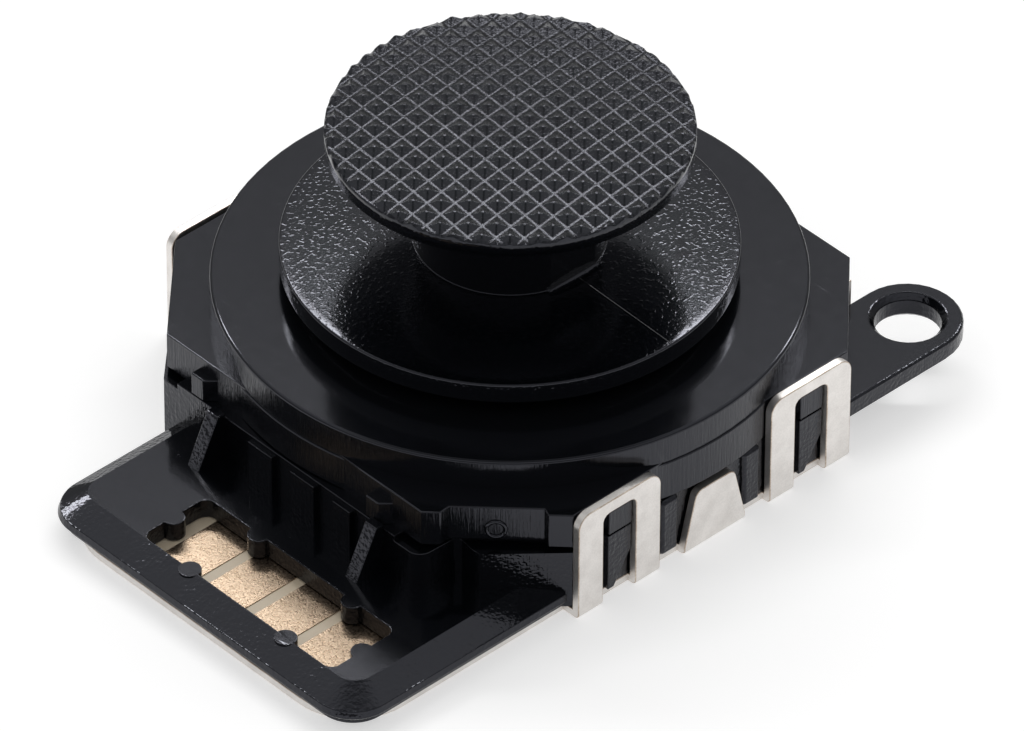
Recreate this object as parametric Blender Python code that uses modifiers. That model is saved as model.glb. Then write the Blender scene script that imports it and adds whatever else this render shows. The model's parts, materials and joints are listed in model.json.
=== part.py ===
"""Slide joystick module: a knurled thumb cap on a stick that slides in X and Y, in a black case on a
stamped steel base with four contact pads.

Metres, +Z up. The origin is on the base's underside, under the stick. -X is the contact tongue,
+X the screw ear, and the two steel loops of each side stand on -Y and +Y.
"""
import math

import bmesh
import bpy
from mathutils import Matrix

# Travel and clearances
TRAVEL = 0.0020               # how far the stick slides each way, in X and in Y
RUN_GAP = 0.00005             # between pieces that slide on each other
SEAT_GAP = 0.00002            # between pieces that lie on each other

# Case, shared by its two halves
CASE_FLAT = 0.00573           # half the length of each flat side
CASE_CHAMFER = 0.00323        # leg of each corner's chamfer
CASE_WALL = 0.00086
CASE_EDGE = 0.00005
PARTING_RISE = 0.00035        # of the parting line over the upper slider's underside
PARTING_STEP = 0.00020        # from the lower case's wall up to its lip's top

# Steel base
PLATE_THICKNESS = 0.00028
PLATE_TONGUE_INSET = 0.00010  # the sheet's sides stay this far inside the tongue's foot
PLATE_TONGUE_RADIUS = 0.00220
LOOP_GAP = 0.00006            # between the case and the loops
LOOP_START_GAP = 0.00050      # from where the plateau passes over the loops' line
LOOP_END_GAP = 0.00004
LOOPS_SHIFT = -0.00012        # of all loops and tabs in X
LOOP_LEG_SHARE = 0.30         # of the loop's width
LOOP_RISE = 0.00009           # over the case's shoulder
LOOP_BAR = 0.00045            # height of the bar over a loop's opening
LOOP_CORNER = 0.00050
LOOP_OPENING_CORNER = 0.00025
BEND_RADIUS = 0.00018
TAB_TOP_SHARE = 0.67          # of the tab's foot
TAB_DROP = 0.00015            # below the lower case's wall
TAB_CORNER = 0.00030
END_TAB_WIDTH = 0.00220
END_TAB_RISE = 0.00002        # over the parting line
END_TAB_GAP = 0.00004         # to the screw ear

# Upper case
PLATEAU_OVERHANG = 0.00024    # past the case's flat sides
PLATEAU_HEIGHT = 0.00100
PLATEAU_EDGE = 0.00010
ROOF_THICKNESS = 0.00096
BULGE_STEP = 0.00005          # past the plateau
BULGE_DROP = 0.00015          # how far the bulges at the loops hang below the wall
RECESS_DEPTH = 0.00029
RECESS_START = 0.00058
RECESS_END = 0.00076
RECESS_RAMP = 0.00024
HOOK_MARGIN = 0.00020         # inside its loop's opening, on each side
HOOK_SHIFT = 0.00017
HOOK_REACH = 0.00019
HOOK_TOP_GAP = 0.00015
LATCH_FACE = 0.00055
LATCH_SLANT = 0.00030
LATCH_REACH = 0.00034
LATCH_DROP = 0.00044          # below the case's shoulder
LATCH_Y = (0.00425, -0.00362)  # the +Y end of each latch block

# Lower case
LIP_THICKNESS = 0.00034
FRONT_WALL_REACH = 0.00034    # past the case's flat side
FRONT_WALL_INSET = 0.00083    # the raised part's ends, from the flat's ends
FRONT_WALL_BACK = 0.00021
FRONT_CORNER_RADIUS = 0.00048
FRONT_CORNER_REACH = 0.00027
FRONT_NOTCH = ((0.00109, -0.00031), (0.00120, -0.00051), (0.00112, -0.00097), (0.00112, -0.00138))
RIB_REACH = 0.00018
RIB_DROP = 0.00010
RIBS_Y = ((0.00041, 0.00148), (-0.00148, -0.00042), (-0.00310, -0.00232))
STRUT_WIDTH = 0.00050
STRUT_FOOT = 0.00115
STRUT_HEAD = 0.00032
STRUT_RISE = 0.00018          # over the parting line
STRUT_INSETS = (0.00198, 0.00070)  # from the front wall's ends at +Y and -Y
PILLAR_REACH = 0.00016
PILLAR_WIDTH = 0.00072
PILLAR_GAP = 0.00008          # to the centre tab
PILLAR_LOOP_GAP = 0.00024     # to the loops
WEDGE_FOOT = 0.00025
WEDGE_SIDE = 0.00095

# Contact tongue
TONGUE_REACH = 0.00584        # past the case's flat side
TONGUE_BACK = 0.00063         # its +Y side, from the flat's end
TONGUE_FRONT = 0.00001        # its -Y side, inside the case's
TONGUE_LOOP_GAP = 0.00013
TONGUE_RADIUS = 0.00140
TONGUE_UNDERCUT = 0.00022     # of its foot, which shows the sheet's edge below it
TONGUE_FOOT_RISE = 0.00010    # from the sheet to where the foot starts to flare
TONGUE_LIP_Z = 0.00062
TONGUE_EDGE_Z = 0.00085
TONGUE_TOP_Z = 0.00110
TONGUE_SLOPE = (0.00110, 0.00105, 0.00060)  # width of the sloped border at -X, -Y and +Y
TONGUE_DRAFT = 0.00006
WINDOW_INSET = 0.00114        # from the tongue's end
WINDOW_WIDTH = 0.00261
WINDOW_MARGIN = 0.00023       # past the pads' pitch at both ends
WINDOW_CORNER = 0.00032
PADS_SHIFT = -0.00070         # of the row of pads from the tongue's middle
CRUSH_RADIUS = 0.00036
CRUSH_NEAR = (0.00208, -0.00222)  # from the middle of the pads, at the window's -X side
CRUSH_FAR = (0.00188, -0.00232)   # and at its +X side
CRUSH_ENDS = 0.00126          # from the window's -X side

# Screw ear
EAR_REACH = 0.00107           # its hole's middle, past the case's flat side
EAR_INSET = 0.00170
EAR_RADIUS = 0.00172
EAR_BOTTOM_Z = 0.00090
EAR_TOP_Z = 0.00180
EAR_UNDERCUT = 0.00030
EAR_EDGE = 0.00007
EAR_HOLE_RADIUS = 0.00105
EAR_HOLE_CHAMFER = 0.00018

# Flex circuit, pads and tracks
FLEX_THICKNESS = 0.00010
FLEX_INSET = 0.00050          # inside the case's cavity
FLEX_NECK = 0.00018           # of its tail, inside the cavity's flat
FLEX_MARGIN = 0.00045         # past the window on every side
PAD_THICKNESS = 0.00003
PAD_WIDTH = 0.00160
PAD_PITCH = 0.00200
PAD_COUNT = 4
PAD_MARGIN = 0.00025
TRACK_THICKNESS = 0.00002
TRACK_WIDTH = 0.00060
TRACK_MARGIN = 0.00040        # past the wiper's travel at both ends

# Sliders, springs and wipers
SLIDER_THICKNESS = 0.00080
SLIDER_MARGIN = 0.00080       # beside its springs' windows
SLIDER_END_GAP = 0.00010
SLIDER_CORNER = 0.00040
SLOT_END_GAP = 0.00015
LEDGE_HEIGHT = 0.00087        # of the lower rails over the flex circuit
LEDGE_DEPTH = 0.00250         # of the rails, from the cavity's wall
LEDGE_MARGIN = 0.00020
SPRING_RADIUS = 0.00050       # to the outside of the coil
SPRING_WIRE = 0.00015
SPRING_SPAN = 0.00400         # of the window that holds it
SPRING_INSET = 0.00125        # its axis, from the cavity's wall
SPRING_TURNS = 6
SPRING_DROP = 0.00020         # how deep a spring lies in its trough
SPRING_CLEARANCE = 0.00005
WIPER_THICKNESS = 0.00006
WIPER_WIDTH = 0.00050
WIPER_FOOT = 0.00110
WIPER_REACH = 0.00170
WIPER_TOE = 0.00040
X_WIPER_GAP = 0.00037         # its middle, from the rail
Y_WIPER_GAP = 0.00080         # its middle, from the stick at its end of travel

# Stick
POST_RADIUS = 0.00120
POST_FLAT = 0.00095
FLANGE_MARGIN = 0.00050       # left beside the flange at its end of travel
FLANGE_THICKNESS = 0.00075
POST_DEPTH = 0.00153          # its top, below the knurl's valleys
KEY_RISE = 0.00018            # its flats' start, over the cap's skirt

# Thumb cap
SKIRT_RADIUS = 0.00706
SKIRT_LIFT = 0.00056          # over the plateau
SKIRT_HEIGHT = 0.00069
SKIRT_RISE = 0.00014
SKIRT_WALL = 0.00045
STEM_RADIUS = 0.00295
STEM_FLAT = 0.00280
STEM_LENGTH = 0.00383
STEM_FLARE = 0.00144          # length of its flare under the disc
SOCKET_WALL = 0.00070
SOCKET_LIFT = 0.00019         # over the plateau
DISC_RADIUS = 0.00565
DISC_THICKNESS = 0.00059
DISC_UNDERSIDE = 0.00035
DISC_EDGE = 0.00012
KNURL_HEIGHT = 0.00012
KNURL_PITCH = 0.00066
KNURL_TURN = math.radians(5.5)   # of its first row of grooves from X
KNURL_LEAN = math.radians(4.8)   # of its other row from Y
KNURL_SHIFT = (-0.00010, -0.00031)
KNURL_DEPTH = 0.00015
KNURL_INSET = 0.00005

# Worked out from the sizes above: heights, from the base up
FLEX_TOP_Z = PLATE_THICKNESS + FLEX_THICKNESS
TRACK_TOP_Z = FLEX_TOP_Z + TRACK_THICKNESS
FLEX_ROOM_Z = FLEX_TOP_Z + PAD_THICKNESS + SEAT_GAP
LOW_LEDGE_Z = FLEX_ROOM_Z + LEDGE_HEIGHT
LOW_SLIDER_Z = LOW_LEDGE_Z + RUN_GAP
HIGH_LEDGE_Z = LOW_SLIDER_Z + SLIDER_THICKNESS + RUN_GAP
HIGH_SLIDER_Z = HIGH_LEDGE_Z + RUN_GAP
LOW_SPRING_Z = LOW_LEDGE_Z + SPRING_RADIUS - SPRING_DROP
HIGH_SPRING_Z = HIGH_LEDGE_Z + SPRING_RADIUS - SPRING_DROP
PARTING_Z = HIGH_SLIDER_Z + PARTING_RISE
LOWER_TOP_Z = PARTING_Z - PARTING_STEP
FLANGE_Z = HIGH_SLIDER_Z + SLIDER_THICKNESS + RUN_GAP
CEILING_Z = FLANGE_Z + FLANGE_THICKNESS + RUN_GAP
PLATEAU_Z = CEILING_Z + ROOF_THICKNESS
SHOULDER_Z = PLATEAU_Z - PLATEAU_HEIGHT
LATCH_TOP_Z = SHOULDER_Z - LATCH_DROP
LOOP_TOP_Z = SHOULDER_Z + LOOP_RISE
TAB_TOP_Z = LOWER_TOP_Z - TAB_DROP
END_TAB_TOP_Z = PARTING_Z + END_TAB_RISE
STRUT_TOP_Z = PARTING_Z + STRUT_RISE
SOCKET_BOTTOM_Z = PLATEAU_Z + SOCKET_LIFT
SKIRT_BOTTOM_Z = PLATEAU_Z + SKIRT_LIFT
SKIRT_TOP_Z = SKIRT_BOTTOM_Z + SKIRT_HEIGHT
KEY_START_Z = SKIRT_BOTTOM_Z + KEY_RISE
DISC_BOTTOM_Z = SKIRT_TOP_Z + STEM_LENGTH
STEM_FLARE_Z = DISC_BOTTOM_Z - STEM_FLARE
KNURL_VALLEY_Z = DISC_BOTTOM_Z + DISC_THICKNESS
KNURL_TIP_Z = KNURL_VALLEY_Z + KNURL_HEIGHT
POST_TOP_Z = KNURL_VALLEY_Z - POST_DEPTH

# The case's plan
CASE_HALF = CASE_FLAT + CASE_CHAMFER
CAVITY_HALF = CASE_HALF - CASE_WALL
CAVITY_CHAMFER = CASE_CHAMFER - CASE_WALL * (2 - math.sqrt(2))
PLATEAU_RADIUS = CASE_HALF + PLATEAU_OVERHANG
BULGE_RADIUS = PLATEAU_RADIUS + BULGE_STEP
LOOP_INNER = CASE_HALF + LOOP_GAP
LOOP_OUTER = LOOP_INNER + PLATE_THICKNESS
LOOP_START = math.sqrt(PLATEAU_RADIUS ** 2 - LOOP_INNER ** 2) + LOOP_START_GAP
LOOP_WIDTH = CASE_FLAT - LOOP_END_GAP - LOOP_START
LOOP_LEG = LOOP_WIDTH * LOOP_LEG_SHARE
LOOP_CENTRES = (LOOPS_SHIFT - LOOP_START - LOOP_WIDTH / 2, LOOPS_SHIFT + LOOP_START + LOOP_WIDTH / 2)
BULGE_HALF_WIDTH = LOOP_START
HOOK_WIDTH = LOOP_WIDTH - 2 * (LOOP_LEG + HOOK_MARGIN)
TAB_FOOT_HALF = LOOP_START - PILLAR_LOOP_GAP - PILLAR_WIDTH - PILLAR_GAP
TAB_TOP_HALF = TAB_FOOT_HALF * TAB_TOP_SHARE
FRONT_WALL_X = -CASE_HALF - FRONT_WALL_REACH
FRONT_WALL_HALF = CASE_FLAT - FRONT_WALL_INSET
STRUTS_Y = (FRONT_WALL_HALF - STRUT_INSETS[0], STRUT_INSETS[1] - FRONT_WALL_HALF)
EAR_CENTRE = (CASE_HALF + EAR_REACH, EAR_INSET - CASE_HALF)
END_TAB_START = EAR_CENTRE[1] + EAR_RADIUS + END_TAB_GAP

# The tongue's plan
TONGUE_X = -CASE_HALF - TONGUE_REACH
TONGUE_Y = (TONGUE_FRONT - CASE_HALF, CASE_FLAT - TONGUE_BACK)
TONGUE_INNER_X = LOOP_CENTRES[0] - LOOP_WIDTH / 2 - TONGUE_LOOP_GAP
PADS_Y = sum(TONGUE_Y) / 2 + PADS_SHIFT
PAD_FIRST_Y = PADS_Y + (PAD_COUNT - 1) / 2 * PAD_PITCH
WINDOW_HALF = PAD_COUNT * PAD_PITCH / 2 + WINDOW_MARGIN
WINDOW_X = (TONGUE_X + WINDOW_INSET, TONGUE_X + WINDOW_INSET + WINDOW_WIDTH)
WINDOW_Y = (PADS_Y - WINDOW_HALF, PADS_Y + WINDOW_HALF)

# What moves
FLANGE_RADIUS = CAVITY_HALF - TRAVEL - FLANGE_MARGIN
SLOT_HALF_WIDTH = POST_RADIUS + RUN_GAP
SLOT_HALF_LENGTH = POST_RADIUS + TRAVEL + SLOT_END_GAP
SLIDER_HALF_WIDTH = SPRING_SPAN / 2 + SLIDER_MARGIN
SPRING_PLACE = CAVITY_HALF - SPRING_INSET
LEDGE_START = CAVITY_HALF - LEDGE_DEPTH
LEDGE_HALF_WIDTH = SLIDER_HALF_WIDTH + TRAVEL + LEDGE_MARGIN
X_WIPER_Y = X_WIPER_GAP - LEDGE_START
Y_WIPER_X = TRAVEL + POST_RADIUS + Y_WIPER_GAP
TRACK_HALF = TRAVEL + WIPER_REACH + TRACK_MARGIN

SIDES = (-1, 1)
AROUND = 96                   # sides of the big turned shapes
AROUND_SMALL = 32

# Which way a flat outline's own x, y and thickness point
FACINGS = {
    "Z": Matrix.Identity(4),
    "Y": Matrix(((1, 0, 0, 0), (0, 0, 1, 0), (0, 1, 0, 0), (0, 0, 0, 1))),
    "X": Matrix(((0, 0, 1, 0), (1, 0, 0, 0), (0, 1, 0, 0), (0, 0, 0, 1))),
}


# Scene, materials and shared modelling steps

def clear_scene():
    for old in list(bpy.data.objects):
        bpy.data.objects.remove(old, do_unlink=True)


def new_collection(name):
    group = bpy.data.collections.new(name)
    bpy.context.scene.collection.children.link(group)
    return group


def material(name, colour, roughness, metallic):
    made = bpy.data.materials.new(name)
    made.use_nodes = True
    shader = made.node_tree.nodes["Principled BSDF"]
    shader.inputs["Base Color"].default_value = (*colour, 1.0)
    shader.inputs["Roughness"].default_value = roughness
    shader.inputs["Metallic"].default_value = metallic
    return made


def place(name, mesh, matrix=None):
    made = bpy.data.objects.new(name, mesh)
    PARTS.objects.link(made)
    if matrix is not None:
        made.matrix_world = matrix
    return made


def finish(piece, name, look):
    """Name a finished piece as its node and give it its material."""
    piece.name = name
    piece.data.name = name
    piece.data.materials.clear()
    piece.data.materials.append(look)
    return piece


def box(low, high):
    mesh = bpy.data.meshes.new("box")
    shape = bmesh.new()
    bmesh.ops.create_cube(shape, size=1.0)
    bmesh.ops.scale(shape, vec=[b - a for a, b in zip(low, high)], verts=shape.verts)
    shape.to_mesh(mesh)
    shape.free()
    middle = [(a + b) / 2 for a, b in zip(low, high)]
    return place("box", mesh, Matrix.Translation(middle))


def cone(radius_low, radius_high, low, high, centre=(0.0, 0.0), sides=AROUND_SMALL):
    mesh = bpy.data.meshes.new("cone")
    shape = bmesh.new()
    bmesh.ops.create_cone(
        shape, cap_ends=True, segments=sides, radius1=radius_low, radius2=radius_high, depth=high - low
    )
    shape.to_mesh(mesh)
    shape.free()
    return place("cone", mesh, Matrix.Translation((*centre, (low + high) / 2)))


def cylinder(radius, low, high, centre=(0.0, 0.0), sides=AROUND_SMALL):
    return cone(radius, radius, low, high, centre, sides)


def turned(profile, sides=AROUND):
    """Screw a profile of (radius, z) points round Z. It runs down the outer side."""
    mesh = bpy.data.meshes.new("turned")
    mesh.from_pydata([(r, 0, z) for r, z in profile], [(i, i + 1) for i in range(len(profile) - 1)], [])
    made = place("turned", mesh)
    screw = made.modifiers.new("turn", "SCREW")
    screw.steps = sides
    screw.render_steps = sides
    screw.use_merge_vertices = True
    screw.merge_threshold = 1e-6
    return made


def as_mesh(curve_object):
    """Turn a curve object into a mesh object with its caps welded on."""
    bpy.context.view_layer.update()
    evaluated = curve_object.evaluated_get(bpy.context.evaluated_depsgraph_get())
    mesh = bpy.data.meshes.new_from_object(evaluated)
    shape = bmesh.new()
    shape.from_mesh(mesh)
    bmesh.ops.remove_doubles(shape, verts=shape.verts, dist=1e-6)
    shape.to_mesh(mesh)
    shape.free()
    made = place(curve_object.name, mesh, curve_object.matrix_world.copy())
    bpy.data.objects.remove(curve_object, do_unlink=True)
    return made


def prism(outlines, low, high, along="Z"):
    """Fill a flat outline, less any outlines inside it, from low to high along an axis.

    Outlines are (x, y) points for Z, (x, z) points for Y and (y, z) points for X.
    """
    curve = bpy.data.curves.new("prism", "CURVE")
    curve.dimensions = "2D"
    curve.fill_mode = "BOTH"
    curve.extrude = (high - low) / 2
    for points in outlines:
        spline = curve.splines.new("POLY")
        spline.points.add(len(points) - 1)
        for point, (u, v) in zip(spline.points, points):
            point.co = (u, v, 0, 1)
        spline.use_cyclic_u = True
    made = bpy.data.objects.new("prism", curve)
    PARTS.objects.link(made)
    made.matrix_world = FACINGS[along] @ Matrix.Translation((0, 0, (low + high) / 2))
    return as_mesh(made)


def loft(rings):
    """Skin closed rings of (x, y, z) points that all have as many points, and cap both ends."""
    mesh = bpy.data.meshes.new("loft")
    shape = bmesh.new()
    loops = [[shape.verts.new(point) for point in ring] for ring in rings]
    count = len(rings[0])
    for lower, upper in zip(loops, loops[1:]):
        for i in range(count):
            j = (i + 1) % count
            shape.faces.new((lower[i], lower[j], upper[j], upper[i]))
    shape.faces.new(loops[0][::-1])
    shape.faces.new(loops[-1])
    shape.to_mesh(mesh)
    shape.free()
    return place("loft", mesh)


def apply_tool(piece, tool, operation):
    step = piece.modifiers.new(operation.lower(), "BOOLEAN")
    step.operation = operation
    step.solver = "EXACT"
    step.object = tool
    tool.hide_render = True
    tool.display_type = "WIRE"
    PARTS.objects.unlink(tool)
    CUTTERS.objects.link(tool)
    return piece


def cut(piece, *tools):
    for tool in tools:
        apply_tool(piece, tool, "DIFFERENCE")
    return piece


def join(piece, *tools):
    for tool in tools:
        apply_tool(piece, tool, "UNION")
    return piece


def keep_inside(piece, tool):
    return apply_tool(piece, tool, "INTERSECT")


def soften(piece, width, segments=1):
    bevel = piece.modifiers.new("edges", "BEVEL")
    bevel.width = width
    bevel.segments = segments
    bevel.limit_method = "ANGLE"
    bevel.angle_limit = math.radians(40)
    return piece


# Outlines

def arc(centre, radius, start, end, steps=12):
    """Points on an arc, from start to end in degrees."""
    turns = [math.radians(start + (end - start) * i / steps) for i in range(steps + 1)]
    return [(centre[0] + radius * math.cos(t), centre[1] + radius * math.sin(t)) for t in turns]


def rounded_rectangle(low, high, radius, steps=8):
    (x0, y0), (x1, y1) = low, high
    return (
        arc((x1 - radius, y1 - radius), radius, 0, 90, steps)
        + arc((x0 + radius, y1 - radius), radius, 90, 180, steps)
        + arc((x0 + radius, y0 + radius), radius, 180, 270, steps)
        + arc((x1 - radius, y0 + radius), radius, 270, 360, steps)
    )


def octagon(half, leg, front_corner=None):
    """A square with chamfered corners. Other points can take the -X -Y corner's place."""
    near = half - leg
    front = front_corner or [(-half, -near), (-near, -half)]
    return [(half, -near), (half, near), (near, half), (-near, half), (-half, near), *front, (near, -half)]


def flipped(points, side):
    """Mirror an outline in its second coordinate when side is -1."""
    return [(u, v * side) for u, v in points]


# Steel base

def leg_spans(centre):
    """Where a loop's two legs stand, in X."""
    half = LOOP_WIDTH / 2
    return [(centre - half, centre - half + LOOP_LEG), (centre + half - LOOP_LEG, centre + half)]


def teeth(side):
    """The sheet's outline along its -Y or +Y edge, from -X to +X, with a foot for each upright."""
    tab = (LOOPS_SHIFT - TAB_FOOT_HALF, LOOPS_SHIFT + TAB_FOOT_HALF)
    spans = [*leg_spans(LOOP_CENTRES[0]), tab, *leg_spans(LOOP_CENTRES[1])]
    points = []
    for start, end in spans:
        points += [(start, CASE_HALF), (start, LOOP_OUTER), (end, LOOP_OUTER), (end, CASE_HALF)]
    return flipped(points, side)


def sheet():
    side_inset = TONGUE_UNDERCUT + PLATE_TONGUE_INSET
    x0 = TONGUE_X + TONGUE_UNDERCUT
    y0 = TONGUE_Y[0] + side_inset
    y1 = TONGUE_Y[1] - side_inset
    radius = PLATE_TONGUE_RADIUS
    tongue_end = arc((x0 + radius, y1 - radius), radius, 90, 180)
    tongue_end += arc((x0 + radius, y0 + radius), radius, 180, 270)
    back = teeth(1)[::-1]
    front = teeth(-1)
    root_x = back[-1][0]
    end_tab_end = END_TAB_START + END_TAB_WIDTH
    outline = [(CASE_HALF, -CASE_FLAT), (CASE_HALF, END_TAB_START), (LOOP_OUTER, END_TAB_START)]
    outline += [(LOOP_OUTER, end_tab_end), (CASE_HALF, end_tab_end)]
    outline += [(CASE_HALF, CASE_FLAT), (CASE_FLAT, CASE_HALF)]
    outline += [*back[:-1], (root_x, CASE_FLAT + CASE_HALF + root_x), (-CASE_HALF, CASE_FLAT), (-CASE_HALF, y1)]
    outline += [*tongue_end, (root_x, y0), *front[1:], (CASE_FLAT, -CASE_HALF)]
    return loft([[(x, y, z) for x, y in outline] for z in (0.0, PLATE_THICKNESS)])


def upright(outline, side):
    """A strip of the sheet that stands on its -Y or +Y edge."""
    return prism([outline], *sorted((side * LOOP_INNER, side * LOOP_OUTER)), "Y")


def loop(side, centre):
    """A bent-up loop with rounded shoulders. Its opening runs down to the flat sheet."""
    half = LOOP_WIDTH / 2
    opening_half = half - LOOP_LEG
    foot = PLATE_THICKNESS / 2
    shoulder_z = LOOP_TOP_Z - LOOP_CORNER
    shoulders = arc((centre + half - LOOP_CORNER, shoulder_z), LOOP_CORNER, 0, 90)
    shoulders += arc((centre - half + LOOP_CORNER, shoulder_z), LOOP_CORNER, 90, 180)
    corner = LOOP_OPENING_CORNER
    corner_z = LOOP_TOP_Z - LOOP_BAR - corner
    opening = arc((centre - opening_half + corner, corner_z), corner, 180, 90, 3)
    opening += arc((centre + opening_half - corner, corner_z), corner, 90, 0, 3)
    outline = [(centre + half, foot), *shoulders, (centre - half, foot), (centre - opening_half, foot)]
    return upright([*outline, *opening, (centre + opening_half, foot)], side)


def centre_tab(side):
    """The tapered tab between the two loops of a side."""
    top = arc((TAB_TOP_HALF - TAB_CORNER, TAB_TOP_Z - TAB_CORNER), TAB_CORNER, 15, 90, 4)
    top += arc((TAB_CORNER - TAB_TOP_HALF, TAB_TOP_Z - TAB_CORNER), TAB_CORNER, 90, 165, 4)
    foot = PLATE_THICKNESS / 2
    outline = [(TAB_FOOT_HALF, foot), (TAB_FOOT_HALF, 2 * foot), *top]
    outline += [(-TAB_FOOT_HALF, 2 * foot), (-TAB_FOOT_HALF, foot)]
    return upright([(LOOPS_SHIFT + x, z) for x, z in outline], side)


def bend_cut(reach, length):
    """What the rounding of a bend takes off the square corner along an edge at +Y."""
    curve = arc((LOOP_OUTER - BEND_RADIUS, BEND_RADIUS), BEND_RADIUS, 270, 360, 4)
    outline = [(LOOP_OUTER - BEND_RADIUS, -BEND_RADIUS), *curve, (reach, BEND_RADIUS), (reach, -BEND_RADIUS)]
    return prism([outline], -length, length, "X")


def base_plate(look):
    made = sheet()
    for side in SIDES:
        join(made, centre_tab(side), *[loop(side, centre) for centre in LOOP_CENTRES])
    tab_low = (LOOP_INNER, END_TAB_START, PLATE_THICKNESS / 2)
    join(made, box(tab_low, (LOOP_OUTER, END_TAB_START + END_TAB_WIDTH, END_TAB_TOP_Z)))
    for turn in (0, 180, 270):
        rounding = bend_cut(LOOP_OUTER + CASE_WALL, CASE_HALF - CASE_CHAMFER / 2)
        rounding.matrix_world = Matrix.Rotation(math.radians(turn), 4, "Z") @ rounding.matrix_world
        cut(made, rounding)
    return finish(made, "base_plate", look)


# Upper case

def recessed_corner():
    """The front corner's chamfer, with the shallow recess in its middle."""
    step = 1 / math.sqrt(2)

    def point(along, depth):
        return (-CASE_HALF + (along + depth) * step, -CASE_FLAT + (depth - along) * step)

    length = CASE_CHAMFER / step
    return [
        point(0, 0),
        point(RECESS_START, 0),
        point(RECESS_START + RECESS_RAMP, RECESS_DEPTH),
        point(length - RECESS_END - RECESS_RAMP / 2, RECESS_DEPTH),
        point(length - RECESS_END, 0),
        point(length, 0),
    ]


def bulge(facing, low):
    """A round swelling of the case's side under the plateau, on X or Y and on side -1 or 1."""
    along, side = facing
    spread = math.degrees(math.asin(BULGE_HALF_WIDTH / BULGE_RADIUS))
    curve = arc((0.0, 0.0), BULGE_RADIUS, 90 + spread, 90 - spread, 8)
    root = CASE_HALF - CASE_WALL / 2
    outline = [*curve, (BULGE_HALF_WIDTH, root), (-BULGE_HALF_WIDTH, root)]
    outline = flipped(outline, side)
    if along == "X":
        outline = [(v, u) for u, v in outline]
    return prism([outline], low, SHOULDER_Z - CASE_EDGE)


def hook(side, loop_centre):
    """The block in a loop's opening that holds the case down."""
    centre = loop_centre + HOOK_SHIFT
    ys = sorted((side * (CASE_HALF + HOOK_REACH), side * (CASE_HALF - CASE_WALL / 2)))
    low = (centre - HOOK_WIDTH / 2, ys[0], PARTING_Z - BULGE_DROP)
    high = (centre + HOOK_WIDTH / 2, ys[1], LOOP_TOP_Z - LOOP_BAR - HOOK_TOP_GAP)
    return box(low, high)


def latch_block(start_y):
    outer = -CASE_HALF - LATCH_REACH
    inner = -CASE_HALF + CASE_WALL / 2
    end_y = start_y - LATCH_FACE - LATCH_SLANT
    outline = [(inner, start_y), (outer, start_y), (outer, start_y - LATCH_FACE), (-CASE_HALF, end_y)]
    outline += [(inner, end_y)]
    return prism([outline], PARTING_Z + SEAT_GAP, LATCH_TOP_Z)


def upper_case(look):
    made = prism([octagon(CASE_HALF, CASE_CHAMFER, recessed_corner())], PARTING_Z, SHOULDER_Z)
    edge = [(PLATEAU_RADIUS - PLATEAU_EDGE + r, PLATEAU_Z - PLATEAU_EDGE + z)
            for r, z in arc((0, 0), PLATEAU_EDGE, 90, 0, 3)]
    plateau_foot = SHOULDER_Z - CASE_WALL / 2
    plateau = turned([(0, PLATEAU_Z), *edge, (PLATEAU_RADIUS, plateau_foot), (0, plateau_foot)])
    join(made, plateau)
    join(made, *[bulge(("Y", side), PARTING_Z - BULGE_DROP) for side in SIDES])
    join(made, *[bulge(("X", side), PARTING_Z + SEAT_GAP) for side in SIDES])
    cavity = prism([octagon(CAVITY_HALF, CAVITY_CHAMFER)], 0.0, FLANGE_Z)
    reach = FLANGE_RADIUS + TRAVEL + RUN_GAP
    flange_room = rounded_rectangle((-reach, -reach), (reach, reach), FLANGE_RADIUS + RUN_GAP, 12)
    half = TRAVEL + POST_RADIUS + SLOT_END_GAP
    opening = rounded_rectangle((-half, -half), (half, half), POST_RADIUS + SLOT_END_GAP, 6)
    cut(made, cavity, prism([flange_room], 0.0, CEILING_Z), prism([opening], 0.0, 2 * PLATEAU_Z))
    for side in SIDES:
        join(made, *[hook(side, centre) for centre in LOOP_CENTRES])
    join(made, *[latch_block(y) for y in LATCH_Y])
    return finish(made, "upper_case", look)


# Lower case

def lower_wall_outline():
    """The lower case's plan, with its thicker front wall and the notch in the front corner."""
    flat = CASE_FLAT
    centre = (FRONT_WALL_X + FRONT_CORNER_RADIUS, FRONT_CORNER_RADIUS - flat - FRONT_CORNER_REACH)
    corner = arc(centre, FRONT_CORNER_RADIUS, 180, 262, 9)
    notch = [(x - CASE_HALF, y - flat) for x, y in FRONT_NOTCH]
    outline = [(CASE_HALF, -flat), (CASE_HALF, flat), (flat, CASE_HALF), (-flat, CASE_HALF)]
    outline += [(FRONT_WALL_X, flat - FRONT_WALL_BACK), *corner, *notch]
    outline += [(-flat, -CASE_HALF), (flat, -CASE_HALF)]
    return outline


def tongue_ring(inset, radius, z):
    """One ring of the tongue's loft: its outline less an inset at -X, -Y and +Y."""
    x0 = TONGUE_X + inset[0]
    y0 = TONGUE_Y[0] + inset[1]
    y1 = TONGUE_Y[1] - inset[2]
    points = [(TONGUE_INNER_X, y1)] + arc((x0 + radius, y1 - radius), radius, 90, 180)
    points += arc((x0 + radius, y0 + radius), radius, 180, 270) + [(TONGUE_INNER_X, y0)]
    return [(x, y, z) for x, y in points]


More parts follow.
